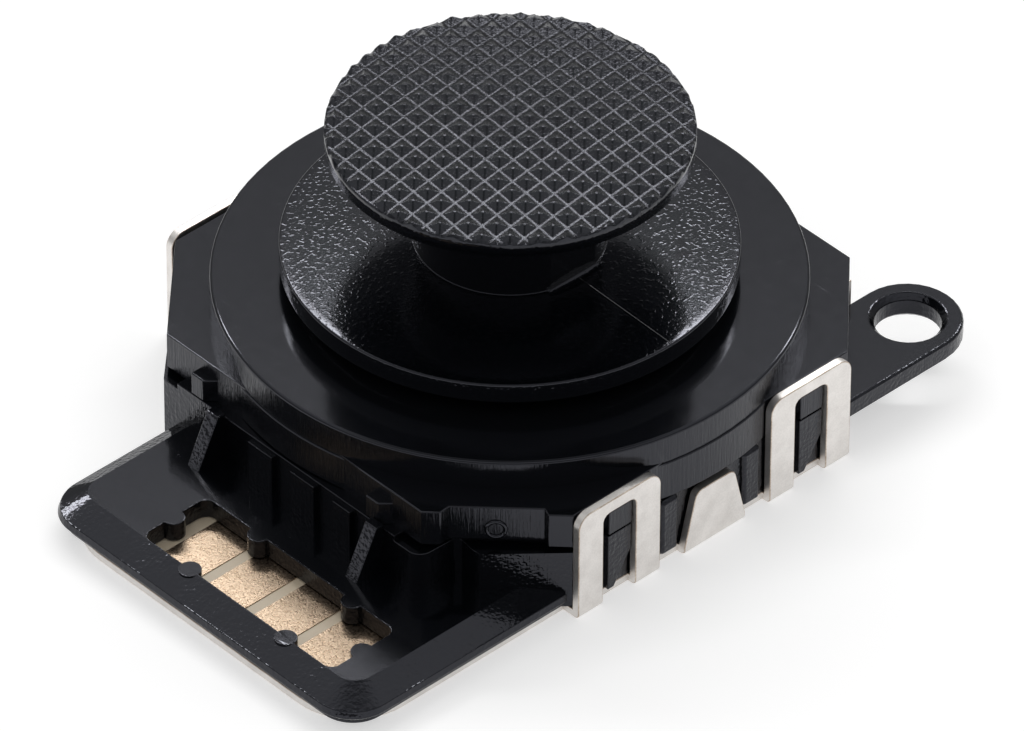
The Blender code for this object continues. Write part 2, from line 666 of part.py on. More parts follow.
def tongue():
    foot = (TONGUE_UNDERCUT, TONGUE_UNDERCUT, TONGUE_UNDERCUT)
    foot_radius = TONGUE_RADIUS - TONGUE_UNDERCUT
    lip = (0.0, 0.0, 0.0)
    draft = (TONGUE_DRAFT, TONGUE_DRAFT, TONGUE_DRAFT)
    return loft([
        tongue_ring(foot, foot_radius, PLATE_THICKNESS),
        tongue_ring(foot, foot_radius, PLATE_THICKNESS + TONGUE_FOOT_RISE),
        tongue_ring(lip, TONGUE_RADIUS, TONGUE_LIP_Z),
        tongue_ring(draft, TONGUE_RADIUS, TONGUE_EDGE_Z),
        tongue_ring(TONGUE_SLOPE, TONGUE_RADIUS / 2, TONGUE_TOP_Z),
    ])


def ear_ring(inset, z):
    """One ring of the ear's loft. Its inner end lies inside the case's wall."""
    x, y = EAR_CENTRE
    radius = EAR_RADIUS - inset
    points = [(CASE_FLAT, y - radius)] + arc((x, y), radius, 270, 450, 16)
    points += [(CAVITY_HALF, y + radius), (CASE_FLAT, -CAVITY_HALF)]
    return [(u, v, z) for u, v in points]


def ear():
    return loft([
        ear_ring(EAR_UNDERCUT, EAR_BOTTOM_Z),
        ear_ring(0.0, EAR_BOTTOM_Z + EAR_UNDERCUT),
        ear_ring(0.0, EAR_TOP_Z - EAR_EDGE),
        ear_ring(EAR_EDGE, EAR_TOP_Z),
    ])


def ear_hole():
    """The screw hole's cutter, wider at both faces."""
    r = EAR_HOLE_RADIUS
    wide = r + EAR_HOLE_CHAMFER
    low = EAR_BOTTOM_Z
    high = EAR_TOP_Z
    c = EAR_HOLE_CHAMFER
    profile = [(0, high + c), (wide + c, high + c), (r, high - c), (r, low + c), (wide + c, low - c), (0, low - c)]
    made = turned(profile, AROUND_SMALL)
    made.matrix_world = Matrix.Translation((*EAR_CENTRE, 0))
    return made


def strut(y):
    """A slanted stay from the front wall down to the tongue."""
    wall = FRONT_WALL_X
    root_z = TONGUE_TOP_Z - CASE_WALL / 2
    root_x = wall + CASE_WALL / 2
    outline = [(root_x, root_z), (wall - STRUT_FOOT, root_z), (wall - STRUT_FOOT, TONGUE_TOP_Z)]
    outline += [(wall - STRUT_HEAD, STRUT_TOP_Z), (wall - SEAT_GAP, STRUT_TOP_Z)]
    outline += [(wall - SEAT_GAP, LOWER_TOP_Z), (root_x, LOWER_TOP_Z)]
    return prism([outline], y - STRUT_WIDTH / 2, y + STRUT_WIDTH / 2, "Y")


def rib(y_low, y_high):
    low = (FRONT_WALL_X - RIB_REACH, y_low, TONGUE_TOP_Z - CASE_WALL / 2)
    return box(low, (-CASE_HALF - RIB_REACH, y_high, PARTING_Z - RIB_DROP))


def pillar(side, at_x):
    """A rib of the lower case between a loop and the centre tab."""
    ys = sorted((side * (CASE_HALF + PILLAR_REACH), side * CAVITY_HALF))
    low = (at_x - PILLAR_WIDTH / 2, ys[0], PLATE_THICKNESS)
    high = (at_x + PILLAR_WIDTH / 2, ys[1], LOWER_TOP_Z - SEAT_GAP)
    return soften(box(low, high), CASE_EDGE * 2)


def wedge(side, loop_centre):
    """The slanted rib under a hook."""
    left = loop_centre + HOOK_SHIFT - HOOK_WIDTH / 2
    right = left + HOOK_WIDTH
    top = LOWER_TOP_Z - SEAT_GAP
    outline = [(left, PLATE_THICKNESS), (left + WEDGE_FOOT, PLATE_THICKNESS)]
    outline += [(right, LOWER_TOP_Z - WEDGE_SIDE), (right, top), (left, top)]
    ys = sorted((side * (CASE_HALF + PILLAR_REACH), side * CAVITY_HALF))
    return prism([outline], *ys, "Y")


def flex_outline(grow):
    """The flex circuit's plan, grown by a clearance: a square under the sliders and a tail."""
    half = CAVITY_HALF - FLEX_INSET + grow
    near = half - CAVITY_CHAMFER
    x0 = WINDOW_X[0] - FLEX_MARGIN - grow
    y0 = WINDOW_Y[0] - FLEX_MARGIN - grow
    y1 = WINDOW_Y[1] + FLEX_MARGIN + grow
    neck = FLEX_NECK - CAVITY_HALF + grow
    tail = [(-half, y1), (x0, y1), (x0, y0), (neck, y0), (neck, -near), (-near, -half)]
    return [(half, -near), (half, near), (near, half), (-near, half), (-half, near), *tail, (near, -half)]


def window():
    low = (WINDOW_X[0], WINDOW_Y[0])
    return prism([rounded_rectangle(low, (WINDOW_X[1], WINDOW_Y[1]), WINDOW_CORNER)], 0.0, 2 * TONGUE_TOP_Z)


def crush_ribs():
    """The small half-round ribs round the window that grip the connector."""
    places = [(WINDOW_X[0], PADS_Y + y) for y in CRUSH_NEAR]
    places += [(WINDOW_X[1], PADS_Y + y) for y in CRUSH_FAR]
    places += [(WINDOW_X[0] + CRUSH_ENDS, y) for y in WINDOW_Y]
    return [cylinder(CRUSH_RADIUS, FLEX_ROOM_Z, TONGUE_TOP_Z, place_at) for place_at in places]


def ledge(along, side, top):
    """A rail that carries the ends of a slider that moves along X or Y."""
    across = sorted((side * LEDGE_START, side * (CAVITY_HALF + CASE_WALL / 2)))
    low = [-LEDGE_HALF_WIDTH, across[0], FLEX_ROOM_Z]
    high = [LEDGE_HALF_WIDTH, across[1], top]
    if along == "Y":
        low[0], low[1] = low[1], low[0]
        high[0], high[1] = high[1], high[0]
    return box(low, high)


def trough(along, side, spring_z):
    """The bed of a return spring in its ledge."""
    half = SPRING_SPAN / 2
    across = SPRING_RADIUS + SPRING_CLEARANCE
    place_at = side * SPRING_PLACE
    low = [-half, place_at - across, spring_z - SPRING_RADIUS - SPRING_CLEARANCE]
    high = [half, place_at + across, spring_z + SPRING_RADIUS]
    if along == "Y":
        low[0], low[1] = low[1], low[0]
        high[0], high[1] = high[1], high[0]
    return box(low, high)


def lower_case(look):
    made = prism([lower_wall_outline()], PLATE_THICKNESS, LOWER_TOP_Z)
    lip_half = CAVITY_HALF + LIP_THICKNESS
    lip_chamfer = CAVITY_CHAMFER + LIP_THICKNESS * (2 - math.sqrt(2))
    join(made, prism([octagon(lip_half, lip_chamfer)], LOWER_TOP_Z - CASE_WALL, PARTING_Z))
    inner_x = -CAVITY_HALF - CASE_WALL / 4
    front_low = (FRONT_WALL_X, -FRONT_WALL_HALF, LOWER_TOP_Z - CASE_WALL)
    join(made, box(front_low, (inner_x, FRONT_WALL_HALF, PARTING_Z)))
    join(made, tongue(), ear())
    join(made, *[rib(*ends) for ends in RIBS_Y])
    join(made, *[strut(y) for y in STRUTS_Y])
    cut(made, prism([octagon(CAVITY_HALF, CAVITY_CHAMFER)], 0.0, 2 * PARTING_Z))
    pillar_x = TAB_FOOT_HALF + PILLAR_GAP + PILLAR_WIDTH / 2
    for side in SIDES:
        join(made, pillar(side, LOOPS_SHIFT - pillar_x), pillar(side, LOOPS_SHIFT + pillar_x))
        join(made, *[wedge(side, centre) for centre in LOOP_CENTRES])
        join(made, ledge("X", side, HIGH_LEDGE_Z), ledge("Y", side, LOW_LEDGE_Z))
        cut(made, trough("X", side, HIGH_SPRING_Z), trough("Y", side, LOW_SPRING_Z))
    cut(made, ear_hole(), window())
    join(made, *crush_ribs())
    cut(made, prism([flex_outline(SEAT_GAP * 3)], 0.0, FLEX_ROOM_Z))
    return finish(made, "lower_case", look)


# Flex circuit

def flex_circuit(look):
    made = prism([flex_outline(0.0)], PLATE_THICKNESS, FLEX_TOP_Z)
    return finish(made, "flex_circuit", look)


def contact_pad(number, look):
    """A gold pad of the window, counted from +Y."""
    y = PAD_FIRST_Y - (number - 1) * PAD_PITCH
    low = (WINDOW_X[0] - PAD_MARGIN, y - PAD_WIDTH / 2, FLEX_TOP_Z)
    high = (WINDOW_X[1] + PAD_MARGIN, y + PAD_WIDTH / 2, FLEX_TOP_Z + PAD_THICKNESS)
    return finish(box(low, high), f"contact_pad_{number}", look)


def resistive_track(name, along, look):
    """The carbon track that a wiper slides on."""
    wide = TRACK_WIDTH / 2
    if along == "X":
        low = (-TRACK_HALF, X_WIPER_Y - wide, FLEX_TOP_Z)
        high = (TRACK_HALF, X_WIPER_Y + wide, TRACK_TOP_Z)
    else:
        low = (Y_WIPER_X - wide, -TRACK_HALF, FLEX_TOP_Z)
        high = (Y_WIPER_X + wide, TRACK_HALF, TRACK_TOP_Z)
    return finish(box(low, high), name, look)


# Sliders, springs and wipers

def slider(name, along, low_z, look):
    """A bar across the case with the stick's slot and a window for each return spring."""
    length = CAVITY_HALF - SLIDER_END_GAP
    outer = rounded_rectangle((-SLIDER_HALF_WIDTH, -length), (SLIDER_HALF_WIDTH, length), SLIDER_CORNER, 3)
    slot_corner = (SLOT_HALF_WIDTH, SLOT_HALF_LENGTH)
    slot = rounded_rectangle([-c for c in slot_corner], slot_corner, SLOT_HALF_WIDTH - SEAT_GAP, 6)
    span = SPRING_SPAN / 2
    wide = SPRING_RADIUS + SPRING_CLEARANCE
    windows = []
    for side in SIDES:
        y = side * SPRING_PLACE
        windows.append([(span, y - wide), (span, y + wide), (-span, y + wide), (-span, y - wide)])
    outlines = [outer, slot, *windows]
    if along == "Y":
        outlines = [[(y, x) for x, y in points] for points in outlines]
    return finish(prism(outlines, low_z, low_z + SLIDER_THICKNESS), name, look)


def return_spring(name, along, side, z, look):
    """A compression coil that lies in its slider's window and its ledge's trough."""
    coil = SPRING_RADIUS - SPRING_WIRE / 2
    length = SPRING_SPAN - SPRING_WIRE - 2 * SPRING_CLEARANCE
    steps = 10 * SPRING_TURNS
    curve = bpy.data.curves.new(name, "CURVE")
    curve.dimensions = "3D"
    curve.bevel_depth = SPRING_WIRE / 2
    curve.bevel_resolution = 2
    curve.use_fill_caps = True
    spline = curve.splines.new("POLY")
    spline.points.add(steps)
    for number, point in enumerate(spline.points):
        turn = 2 * math.pi * number / 10
        run = length * (number / steps - 0.5)
        across = side * SPRING_PLACE + coil * math.cos(turn)
        spot = (run, across) if along == "X" else (across, run)
        point.co = (*spot, z + coil * math.sin(turn), 1)
    made = bpy.data.objects.new(name, curve)
    PARTS.objects.link(made)
    return finish(as_mesh(made), name, look)


def wiper(name, along, slider_z, look):
    """A leaf of spring metal from a slider's underside down to its resistive track."""
    half = WIPER_THICKNESS / 2
    top = slider_z - half - SEAT_GAP
    low = TRACK_TOP_Z + half + SEAT_GAP
    path = [(-WIPER_FOOT, top), (0.0, top), (WIPER_REACH, low), (WIPER_REACH + WIPER_TOE, low + WIPER_TOE / 2)]
    mesh = bpy.data.meshes.new(name)
    shape = bmesh.new()
    rows = []
    for edge in (-WIPER_WIDTH / 2, WIPER_WIDTH / 2):
        if along == "X":
            rows.append([shape.verts.new((run, X_WIPER_Y + edge, z)) for run, z in path])
        else:
            rows.append([shape.verts.new((Y_WIPER_X + edge, run, z)) for run, z in path])
    for i in range(len(path) - 1):
        shape.faces.new((rows[0][i], rows[0][i + 1], rows[1][i + 1], rows[1][i]))
    shape.to_mesh(mesh)
    shape.free()
    made = place(name, mesh)
    leaf = made.modifiers.new("leaf", "SOLIDIFY")
    leaf.thickness = WIPER_THICKNESS
    leaf.offset = 0
    return finish(made, name, look)


# Stick and thumb cap

def stick(look):
    bottom = LOW_SLIDER_Z + RUN_GAP
    flange_top = FLANGE_Z + FLANGE_THICKNESS
    profile = [(0, KEY_START_Z), (POST_RADIUS, KEY_START_Z), (POST_RADIUS, flange_top)]
    profile += [(FLANGE_RADIUS, flange_top), (FLANGE_RADIUS, FLANGE_Z), (POST_RADIUS, FLANGE_Z)]
    profile += [(POST_RADIUS, bottom), (0, bottom)]
    made = turned(profile, 64)
    key = cylinder(POST_RADIUS, KEY_START_Z - POST_FLAT, POST_TOP_Z)
    keep_inside(key, box((-POST_RADIUS * 2, -POST_FLAT, 0.0), (POST_RADIUS * 2, POST_FLAT, 2 * POST_TOP_Z)))
    return finish(join(made, key), "stick", look)


def knurl():
    """A carpet of low pyramids on slightly slanted grooves, cut round to the cap's disc."""
    cells = 2 * math.ceil(DISC_RADIUS / KNURL_PITCH) + 5
    mesh = bpy.data.meshes.new("knurl")
    shape = bmesh.new()
    bmesh.ops.create_grid(shape, x_segments=cells, y_segments=cells, size=cells * KNURL_PITCH / 2)
    rim = [edge for edge in shape.edges if edge.is_boundary]
    tips = bmesh.ops.poke(shape, faces=shape.faces[:])["verts"]
    bmesh.ops.translate(shape, vec=(0, 0, KNURL_HEIGHT), verts=tips)
    skirt = bmesh.ops.extrude_edge_only(shape, edges=rim)["geom"]
    moved = [item for item in skirt if isinstance(item, bmesh.types.BMVert)]
    bmesh.ops.translate(shape, vec=(0, 0, -KNURL_DEPTH), verts=moved)
    bmesh.ops.edgeloop_fill(shape, edges=[item for item in skirt if isinstance(item, bmesh.types.BMEdge)])
    bmesh.ops.recalc_face_normals(shape, faces=shape.faces[:])
    shape.to_mesh(mesh)
    shape.free()
    grooves = Matrix.Identity(4)
    grooves.col[0] = (math.cos(KNURL_TURN), math.sin(KNURL_TURN), 0, 0)
    grooves.col[1] = (math.sin(KNURL_LEAN), math.cos(KNURL_LEAN), 0, 0)
    made = place("knurl", mesh, Matrix.Translation((*KNURL_SHIFT, KNURL_VALLEY_Z)) @ grooves)
    round_cut = cylinder(DISC_RADIUS - KNURL_INSET, 0.0, 2 * KNURL_TIP_Z, sides=AROUND)
    return keep_inside(made, round_cut)


def thumb_cap(look):
    top = KNURL_VALLEY_Z - KNURL_INSET / 2
    hub = POST_RADIUS + RUN_GAP + SOCKET_WALL
    skirt_inner = SKIRT_RADIUS - SKIRT_WALL
    under_skirt = SKIRT_TOP_Z - SKIRT_WALL
    profile = [(0, top), (DISC_RADIUS - DISC_EDGE, top), (DISC_RADIUS, top - DISC_EDGE)]
    profile += [(DISC_RADIUS, DISC_BOTTOM_Z), (DISC_RADIUS - DISC_EDGE, DISC_BOTTOM_Z - DISC_EDGE / 2)]
    profile += [(STEM_RADIUS + DISC_UNDERSIDE, DISC_BOTTOM_Z - DISC_UNDERSIDE), (STEM_RADIUS, STEM_FLARE_Z)]
    profile += [(STEM_RADIUS, SKIRT_TOP_Z + SKIRT_RISE), (SKIRT_RADIUS - DISC_EDGE / 2, SKIRT_TOP_Z)]
    profile += [(SKIRT_RADIUS, SKIRT_TOP_Z - DISC_EDGE / 2), (SKIRT_RADIUS, SKIRT_BOTTOM_Z)]
    profile += [(skirt_inner, SKIRT_BOTTOM_Z), (skirt_inner - SKIRT_WALL / 2, under_skirt), (hub, under_skirt)]
    profile += [(hub, SOCKET_BOTTOM_Z), (0, SOCKET_BOTTOM_Z)]
    made = turned(profile)
    reach = 2 * STEM_RADIUS
    for side in SIDES:
        ys = sorted((side * STEM_FLAT, side * reach))
        cut(made, box((-reach, ys[0], SKIRT_TOP_Z + SKIRT_RISE), (reach, ys[1], STEM_FLARE_Z)))
    socket = cylinder(POST_RADIUS + RUN_GAP, 0.0, KEY_START_Z + RUN_GAP)
    flat = POST_FLAT + RUN_GAP
    key_hole = cylinder(POST_RADIUS + RUN_GAP, KEY_START_Z + RUN_GAP, POST_TOP_Z + RUN_GAP)
    keep_inside(key_hole, box((-reach, -flat, 0.0), (reach, flat, 2 * POST_TOP_Z)))
    cut(made, socket, key_hole)
    return finish(join(made, knurl()), "thumb_cap", look)


def build():
    black = material("black_case", (0.018, 0.019, 0.022), 0.42, 0.0)
    cap_black = material("black_cap", (0.020, 0.021, 0.024), 0.48, 0.0)
    steel = material("nickel_steel", (0.72, 0.70, 0.68), 0.35, 1.0)
    gold = material("gold_pad", (0.78, 0.62, 0.42), 0.35, 1.0)
    film = material("flex_film", (0.86, 0.82, 0.76), 0.55, 0.0)
    carbon = material("carbon_track", (0.03, 0.03, 0.03), 0.7, 0.0)
    nylon = material("white_nylon", (0.80, 0.79, 0.75), 0.5, 0.0)
    spring_steel = material("spring_steel", (0.62, 0.62, 0.64), 0.3, 1.0)
    bronze = material("spring_bronze", (0.70, 0.50, 0.30), 0.35, 1.0)

    base_plate(steel)
    lower_case(black)
    upper_case(black)
    flex_circuit(film)
    for number in range(1, PAD_COUNT + 1):
        contact_pad(number, gold)
    resistive_track("x_resistive_track", "X", carbon)
    resistive_track("y_resistive_track", "Y", carbon)
    slider("x_slider", "X", HIGH_SLIDER_Z, nylon)
    slider("y_slider", "Y", LOW_SLIDER_Z, nylon)
    for side, word in ((-1, "left"), (1, "right")):
        return_spring(f"x_return_spring_{word}", "X", side, HIGH_SPRING_Z, spring_steel)
        return_spring(f"y_return_spring_{word}", "Y", side, LOW_SPRING_Z, spring_steel)
    wiper("x_wiper", "X", HIGH_SLIDER_Z, bronze)
    wiper("y_wiper", "Y", LOW_SLIDER_Z, bronze)
    stick(cap_black)
    thumb_cap(cap_black)


clear_scene()
PARTS = new_collection("slide_joystick_module")
CUTTERS = new_collection("cutters")
build()
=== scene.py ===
"""Looks of the slide joystick module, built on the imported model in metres.

Seen as in the photograph, -X (the contact tongue) is at the lower left and -Y (the loops) is at
the lower right.
"""
import json
import math
from itertools import combinations

import bmesh
import bpy
from mathutils import Matrix, Vector
from mathutils.geometry import intersect_line_line_2d


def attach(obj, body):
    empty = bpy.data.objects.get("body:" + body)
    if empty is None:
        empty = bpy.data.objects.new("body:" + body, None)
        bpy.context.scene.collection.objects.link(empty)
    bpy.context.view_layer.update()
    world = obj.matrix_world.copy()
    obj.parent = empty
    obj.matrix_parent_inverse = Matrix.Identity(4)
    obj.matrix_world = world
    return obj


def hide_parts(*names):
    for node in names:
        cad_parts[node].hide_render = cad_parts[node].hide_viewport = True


MM = 0.001

# Camera, fitted to the photograph
CAMERA_AZIMUTH = -43.1467     # degrees, as the two below
CAMERA_ELEVATION = 39.4413
CAMERA_ROLL = 0.2736
CAMERA_PLACE = (-0.195957, -0.209181, 0.236863)
SENSOR_WIDTH = 36.0
LENS = 424.11
NEAREST_SEEN = 0.01
FARTHEST_SEEN = 10.0

# The studio's walls and ceiling: brightness by the sine of the height angle.
# The first two steps are the pale backdrop at the floor's end.
WORLD_STEPS = (
    (0.0, 0.95), (0.04, 0.95), (0.07, 0.20), (0.45, 0.35), (0.62, 0.55),
    (0.76, 0.75), (0.87, 0.80), (0.93, 0.28), (1.0, 0.20),
)

# The one softbox, behind the part and facing it
LAMP_AZIMUTH = 45.0           # degrees from +X
LAMP_ELEVATION = 46.5
LAMP_DISTANCE = 0.6
LAMP_WIDTH = 0.66
LAMP_HEIGHT = 0.05
LAMP_STRENGTH = 16.0          # brightness of its own face

# Floor
FLOOR_SIZE = 12.0
FLOOR_DEPTH = 0.01 * MM       # how far it lies below the part
FLOOR_PAINT = (0.66, 0.66, 0.66, 1.0)
FLOOR_GLOW = 0.52             # added where the camera or a reflection sees the floor

# Materials
MIX_FIRST = 6                 # numbers of the Mix node's sockets for colours
MIX_SECOND = 7
MIX_RESULT = 2
NOISE_RANGE = (0.3, 0.7)      # where most of a noise lies
ROUGHNESS_SPREAD = 0.06       # how far a simple finish is rougher or smoother in places
COOL_GLOSS = (0.84, 0.86, 1.0, 1.0)   # tint of the black plastics' reflections
SEAM_X = 0.10 * MM            # the mould line on the cap's skirt
SEAM_WIDTH = 0.035 * MM
# Finishes by slot: name, two colours, metallic, roughness, grains per mm and their depth in mm
FINISHES = {
    "gold_pad": ("gold_plate", (0.18, 0.125, 0.08), (0.54, 0.42, 0.31), 1.0, 0.30, 14.0, 0.010),
    "flex_film": ("cream_film", (0.72, 0.60, 0.44), (0.80, 0.69, 0.53), 0.0, 0.45, 2.0, 0.002),
    "carbon_track": ("printed_carbon", (0.012, 0.012, 0.013), (0.03, 0.03, 0.03), 0.0, 0.7, 20.0, 0.004),
    "white_nylon": ("natural_nylon", (0.74, 0.73, 0.68), (0.82, 0.81, 0.77), 0.0, 0.5, 3.0, 0.004),
    "spring_steel": ("drawn_wire", (0.50, 0.50, 0.52), (0.64, 0.64, 0.66), 1.0, 0.3, 12.0, 0.002),
    "spring_bronze": ("rolled_bronze", (0.62, 0.42, 0.24), (0.74, 0.54, 0.33), 1.0, 0.35, 8.0, 0.002),
}

# Rounded edges. The shells are in mm while they are rounded, and so are these values.
SHEET_ROUNDING = 0.03         # widths on the stamped base and on the two moulded halves
CASE_ROUNDING = 0.03
COVER_ROUNDING = 0.04
ROUNDING_SEGMENTS = 2
ROUNDING_LOOK = 1             # number of the material on roundings
ROUNDED_ANGLE = math.radians(28)      # edges that turn more than this are rounded
FLAT_ANGLE = math.radians(0.6)        # faces that turn less than this count as one
SAME_PLACE = 0.0001           # corners nearer than this count as one
SMALLEST_FOLD = 0.000001      # area of the smallest wrong-facing triangle that matters
FOLD_COSINE = 0.5             # of the turn from its face at which a triangle faces wrong
FOLD_REACH = 2.5              # how many roundings away from a fold the edges stay sharp
EDGE_MARKS = "bevel_weight_edge"      # Blender's own name for the weights of its bevel

# Shading of the rounded shells
UPWARD = 0.85                 # z of the normals of faces that count as upward
CREASE_ANGLE = math.radians(3)        # upward faces that turn more than this keep their crease
FLAT_COSINE = math.cos(math.radians(45))      # of the turn up to which a rounding leans on a flat
STRIP_COSINE = 0.5            # of the turn up to which the strips of a rounded corner blend

# The small moulded ring on the front corner
RING_PLACE = (-7.175 * MM, -7.105 * MM, 3.02 * MM)
RING_OUTWARD = (-1.0, -1.0, 0.0)
RING_RADIUS = 0.29 * MM
RING_THICKNESS = 0.07 * MM
RING_STEPS = 48
RING_SIDES = 10

# Thumb cap, from the CAD model
DISC_RADIUS = 5.65 * MM
STEM_RADIUS = 2.95 * MM
STEM_FLAT = 2.80 * MM
STEM_FOOT_Z = 6.25 * MM
STEM_FLARE_Z = 8.50 * MM
STEM_SLACK = 0.02 * MM        # how far the stem's flats reach below its foot
STEM_REACH = 1.02 * STEM_RADIUS       # and how far out from its axis
RIM_TOP_Z = 10.33 * MM
SKIN_LOOK = 1                 # number of the material below the knurled top
# Corners of the cap's outside below its top: radius, z and rounding, in mm
CAP_PROFILE = (
    (DISC_RADIUS / MM, 9.93, 0.10), (5.20, 9.86, 0.30), (3.34, 9.60, 0.22),
    (STEM_RADIUS / MM, STEM_FLARE_Z / MM, 0.30), (STEM_RADIUS / MM, STEM_FOOT_Z / MM, 0.05),
    (7.06, 6.11, 0.07), (7.06, 5.42, 0.05), (6.61, 5.42, 0.05), (6.38, 5.66, 0.10), (1.95, 5.66, 0.20),
    (1.95, 5.05, 0.05), (1.26, 5.05, 0.05), (1.26, 5.65, 0.02), (0.10, 5.65, 0.02),
)
PROFILE_STEP = 0.25           # longest step of the profile, in mm
CORNER_STEPS = 5              # steps round each of its corners
CORNER_SHARE = 0.45           # most of a side that one rounding may take

# Knurl on the cap's top
KNURL_VALLEY_Z = 10.53 * MM
KNURL_HEIGHT = 0.12 * MM
KNURL_PITCH = 0.66 * MM
KNURL_TURN = math.radians(5.5)   # of its first row of grooves from X
KNURL_LEAN = math.radians(4.8)   # of its other row from Y
KNURL_SHIFT = (-0.10 * MM, -0.31 * MM)
KNURL_EDGE = 0.07 * MM        # how far the top rolls over at its rim
KNURL_DROP = 0.7              # share of a full quarter round that it sinks there
TOP_CROWN = 0.20 * MM         # how much higher the top's middle is than its rim
CROWN_SINK = 0.12 * MM        # how far the crowned top's rim lies below the CAD model's flat one
# A pyramid's levels from its groove to its tip: shares of its half width and of its height
KNURL_LEVELS = (
    (1.0, 0.0), (0.92, 0.004), (0.87, 0.022), (0.83, 0.06), (0.58, 0.36), (0.35, 0.635),
    (0.15, 0.90), (0.12, 0.98), (0.07, 0.995),
)
# Flats along the ridges to a pyramid's corners, in shares of the half width: back, side, front, side
RIDGE_CUTS = (0.05, 0.03, 0.13, 0.03)
GROOVE_CUT = 0.10             # the same at a pyramid's foot, where its neighbours join it
LARGEST_CUT = 0.6             # most of a level's half width that a flat may take
SIDE_POINTS = 5               # points along one side of a level
GRID_SPARE = 1.15             # how far the grid of pyramids is laid out, in radii of the disc
RIM_SIDES = 144               # straight cuts that make the top round
CUT_REACH = 1e-8              # in metres: points this near a cut lie on it
GRID_WELD = 1e-7              # in metres: points this near each other join in the grid
RIM_WELD = 1e-6               # and after the cuts


# Node trees

class Tree:
    """Short ways to add nodes to a material or world and to link them."""

    def __init__(self, owner):
        owner.use_nodes = True
        self.owner = owner
        self.tree = owner.node_tree
        self.tree.nodes.clear()

    def add(self, kind, inputs=None, **settings):
        """A new node. Inputs that are outputs of other nodes are linked, and the others set."""
        node = self.tree.nodes.new(kind)
        for key, value in settings.items():
            setattr(node, key, value)
        for key, value in (inputs or {}).items():
            if isinstance(value, bpy.types.NodeSocket):
                self.tree.links.new(value, node.inputs[key])
            else:
                node.inputs[key].default_value = value
        return node

    def axes(self, kind):
        """X, Y and Z of one kind of texture coordinate."""
        place = self.add("ShaderNodeTexCoord").outputs[kind]
        return self.add("ShaderNodeSeparateXYZ", {"Vector": place}).outputs

    def noise(self, scale, detail=3.0, roughness=0.5, stretch=None):
        """Noise in object space. The scale is in cells per millimetre."""
        place = self.add("ShaderNodeTexCoord").outputs["Object"]
        if stretch:
            mapping = self.add("ShaderNodeMapping", {"Vector": place, "Scale": stretch})
            place = mapping.outputs["Vector"]
        inputs = {"Vector": place, "Scale": scale / MM, "Detail": detail, "Roughness": roughness}
        return self.add("ShaderNodeTexNoise", inputs).outputs["Fac"]

    def ramp(self, value, low, high, start=0.0, end=1.0):
        """Map a value's range from low to high onto start to end, and clamp it."""
        inputs = {"Value": value, "From Min": low, "From Max": high, "To Min": start, "To Max": end}
        return self.add("ShaderNodeMapRange", inputs).outputs["Result"]

    def spread(self, noise, start=0.0, end=1.0):
        """Map a noise onto start to end."""
        return self.ramp(noise, *NOISE_RANGE, start, end)

    def math(self, operation, first, second=0.0):
        """One calculation with one or two values."""
        return self.add("ShaderNodeMath", {0: first, 1: second}, operation=operation).outputs[0]

    def steps(self, value, stops):
        """Grey levels that change smoothly from one (position, brightness) to the next."""
        ramp = self.add("ShaderNodeValToRGB", {"Fac": value})
        points = ramp.color_ramp.elements
        while len(points) < len(stops):
            points.new(0.5)
        for point, (place, level) in zip(points, stops):
            point.position = place
            point.color = (level, level, level, 1.0)
        return ramp.outputs["Color"]

    def colours(self, factor, first, second):
        """Mix two colours."""
        inputs = {"Factor": factor, MIX_FIRST: (*first, 1.0), MIX_SECOND: (*second, 1.0)}
        return self.add("ShaderNodeMix", inputs, data_type="RGBA").outputs[MIX_RESULT]

    def bump(self, height, distance, normal=None):
        """Normals that follow a height from 0 to 1 over a distance, on top of other such normals."""
        inputs = {"Height": height, "Distance": distance}
        if normal:
            inputs["Normal"] = normal
        return self.add("ShaderNodeBump", inputs).outputs["Normal"]

    def surface(self, **inputs):
        """End a material in one Principled shader, and give the material. A _ stands for a space."""
        named = {key.replace("_", " "): value for key, value in inputs.items()}
        shader = self.add("ShaderNodeBsdfPrincipled", named)
        self.add("ShaderNodeOutputMaterial", {"Surface": shader.outputs[0]})
        return self.owner


def wall_streaks(t):
    """Fine upright streaks, only on upright faces, as a mould's draft polish leaves them."""
    upright = t.ramp(t.math("ABSOLUTE", t.axes("Normal")["Z"]), 0.25, 0.10)
    return t.math("MULTIPLY", upright, t.noise(13.0, 3.0, 0.65, stretch=(1.0, 1.0, 0.06)))


def case_plastic():
    """The cover's black plastic: glossy and even, with hairline scratches and streaked walls."""
    t = Tree(bpy.data.materials.new("case_plastic"))
    mottle = t.noise(0.9, 4.0)
    grain = t.noise(14.0, 3.0, 0.6)
    scratches = t.ramp(t.noise(12.0, 2.0, 0.6, stretch=(0.05, 1.0, 0.3)), 0.66, 0.80)
    crossing = t.ramp(t.noise(12.0, 2.0, 0.6, stretch=(1.0, 0.06, 0.3)), 0.68, 0.80)
    skin = t.bump(grain, 0.0007 * MM)
    skin = t.bump(t.math("MAXIMUM", scratches, crossing), 0.0005 * MM, skin)
    skin = t.bump(wall_streaks(t), 0.020 * MM, skin)
    return t.surface(
        Base_Color=t.colours(mottle, (0.0034, 0.0039, 0.0051), (0.0050, 0.0056, 0.0070)),
        Roughness=t.spread(t.noise(3.0, 5.0), 0.095, 0.11),
        Specular_Tint=COOL_GLOSS,
        Normal=skin,
    )


